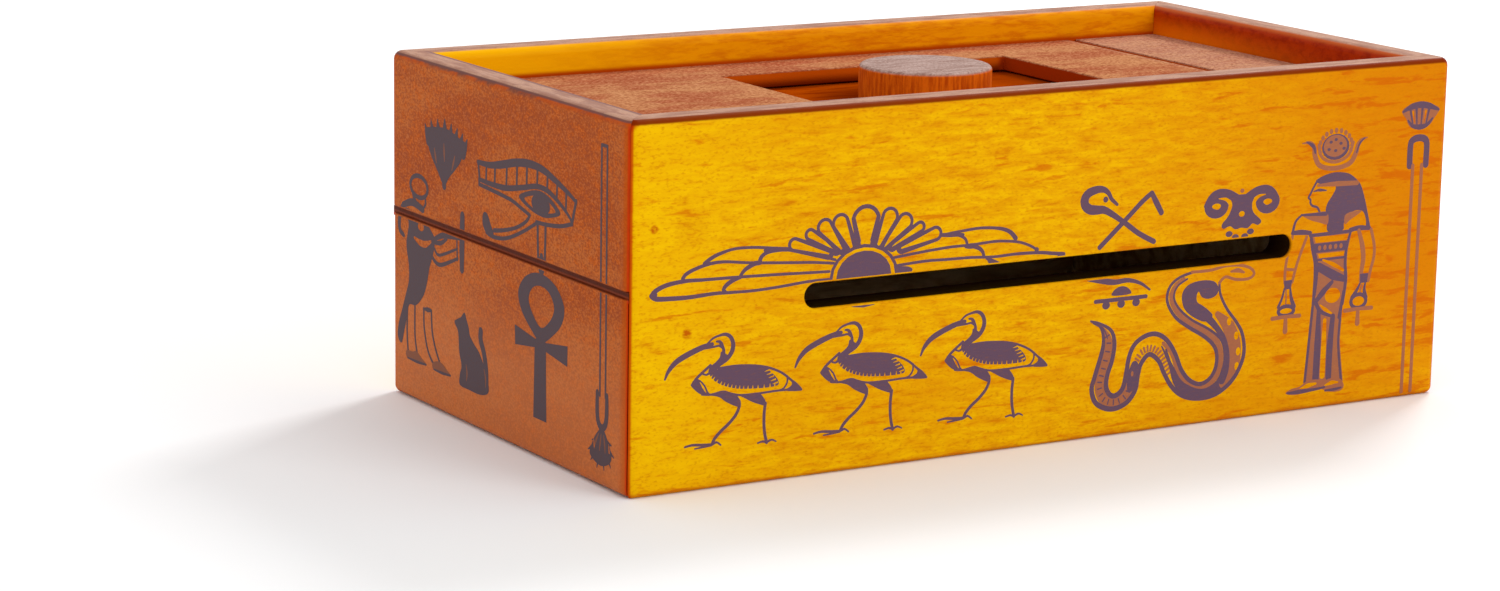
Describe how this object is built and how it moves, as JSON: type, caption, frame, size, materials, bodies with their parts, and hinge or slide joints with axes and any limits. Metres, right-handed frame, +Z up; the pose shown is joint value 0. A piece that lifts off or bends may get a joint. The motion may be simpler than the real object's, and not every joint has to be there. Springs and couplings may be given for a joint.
{
  "type": "wooden puzzle box",
  "caption": "Rectangular wooden puzzle box with a note slot in its front, a secret drawer in its end and a round sliding knob in its recessed top that locks it.",
  "frame": {"origin": "centre of the base, on the surface the box stands on", "axes": "+X along the box towards its fixed end, +Y to the back, +Z up; the slotted front faces -Y"},
  "size_m": [0.18, 0.093, 0.066],
  "materials": {
    "amber_panel": "satin lacquer over a yellow-amber stain",
    "brown_panel": "satin lacquer over a brown-orange stain",
    "deck_ply": "thin waxed ply, reddish brown",
    "stained_ply": "red-brown stained ply",
    "pale_ply": "bare birch ply",
    "hardwood": "bare hardwood batten",
    "knob_dowel": "waxed dowel with an end-grain top",
    "pin_dowel": "bare hardwood dowel",
    "steel": "plain bright steel",
    "magnet_nickel": "nickel plated"
  },
  "bodies": {
    "case": {"front_wall": "amber_panel", "back_wall": "amber_panel", "right_end": "brown_panel", "left_end_upper": "brown_panel", "bottom_panel": "pale_ply", "shelf_panel": "pale_ply", "deck_rail_front": "hardwood", "deck_rail_back": "hardwood", "deck_strip": "deck_ply", "drawer_stop": "hardwood", "pin_guide_block": "hardwood", "brad_front": "steel", "brad_back": "steel", "magnet_1": "magnet_nickel", "magnet_2": "magnet_nickel", "magnet_3": "magnet_nickel", "magnet_4": "magnet_nickel"},
    "deck": {"deck_panel": "deck_ply", "deck_disc_1": "steel", "deck_disc_2": "steel", "deck_disc_3": "steel", "deck_disc_4": "steel"},
    "lock_slide": {"knob": "knob_dowel", "slide_plate": "stained_ply", "cam_rib": "hardwood", "knob_screw": "steel"},
    "lock": {"lock_pin": "pin_dowel", "cross_pin": "steel"},
    "drawer": {"drawer_front": "brown_panel", "drawer_side_front": "pale_ply", "drawer_side_back": "pale_ply", "drawer_back": "pale_ply", "drawer_floor": "pale_ply"}
  },
  "joints": [
    {"name": "knob_slide", "type": "slide", "parent": "case", "child": "lock_slide", "axis": [1, 0, 0], "range_m": [-0.017, 0.023]},
    {"name": "lock_drop", "type": "slide", "parent": "case", "child": "lock", "axis": [0, 0, 1], "range_m": [-0.0046, 0.0034]},
    {"name": "drawer_slide", "type": "slide", "parent": "case", "child": "drawer", "axis": [-1, 0, 0], "range_m": [0, 0.12]},
    {"name": "deck_lift", "type": "slide", "parent": "case", "child": "deck", "axis": [0, 0, 1], "range_m": [0, 0.04]}
  ],
  "couplings": [
    {"joint": "lock_drop", "follows": "knob_slide", "ratio": -0.2}
  ]
}
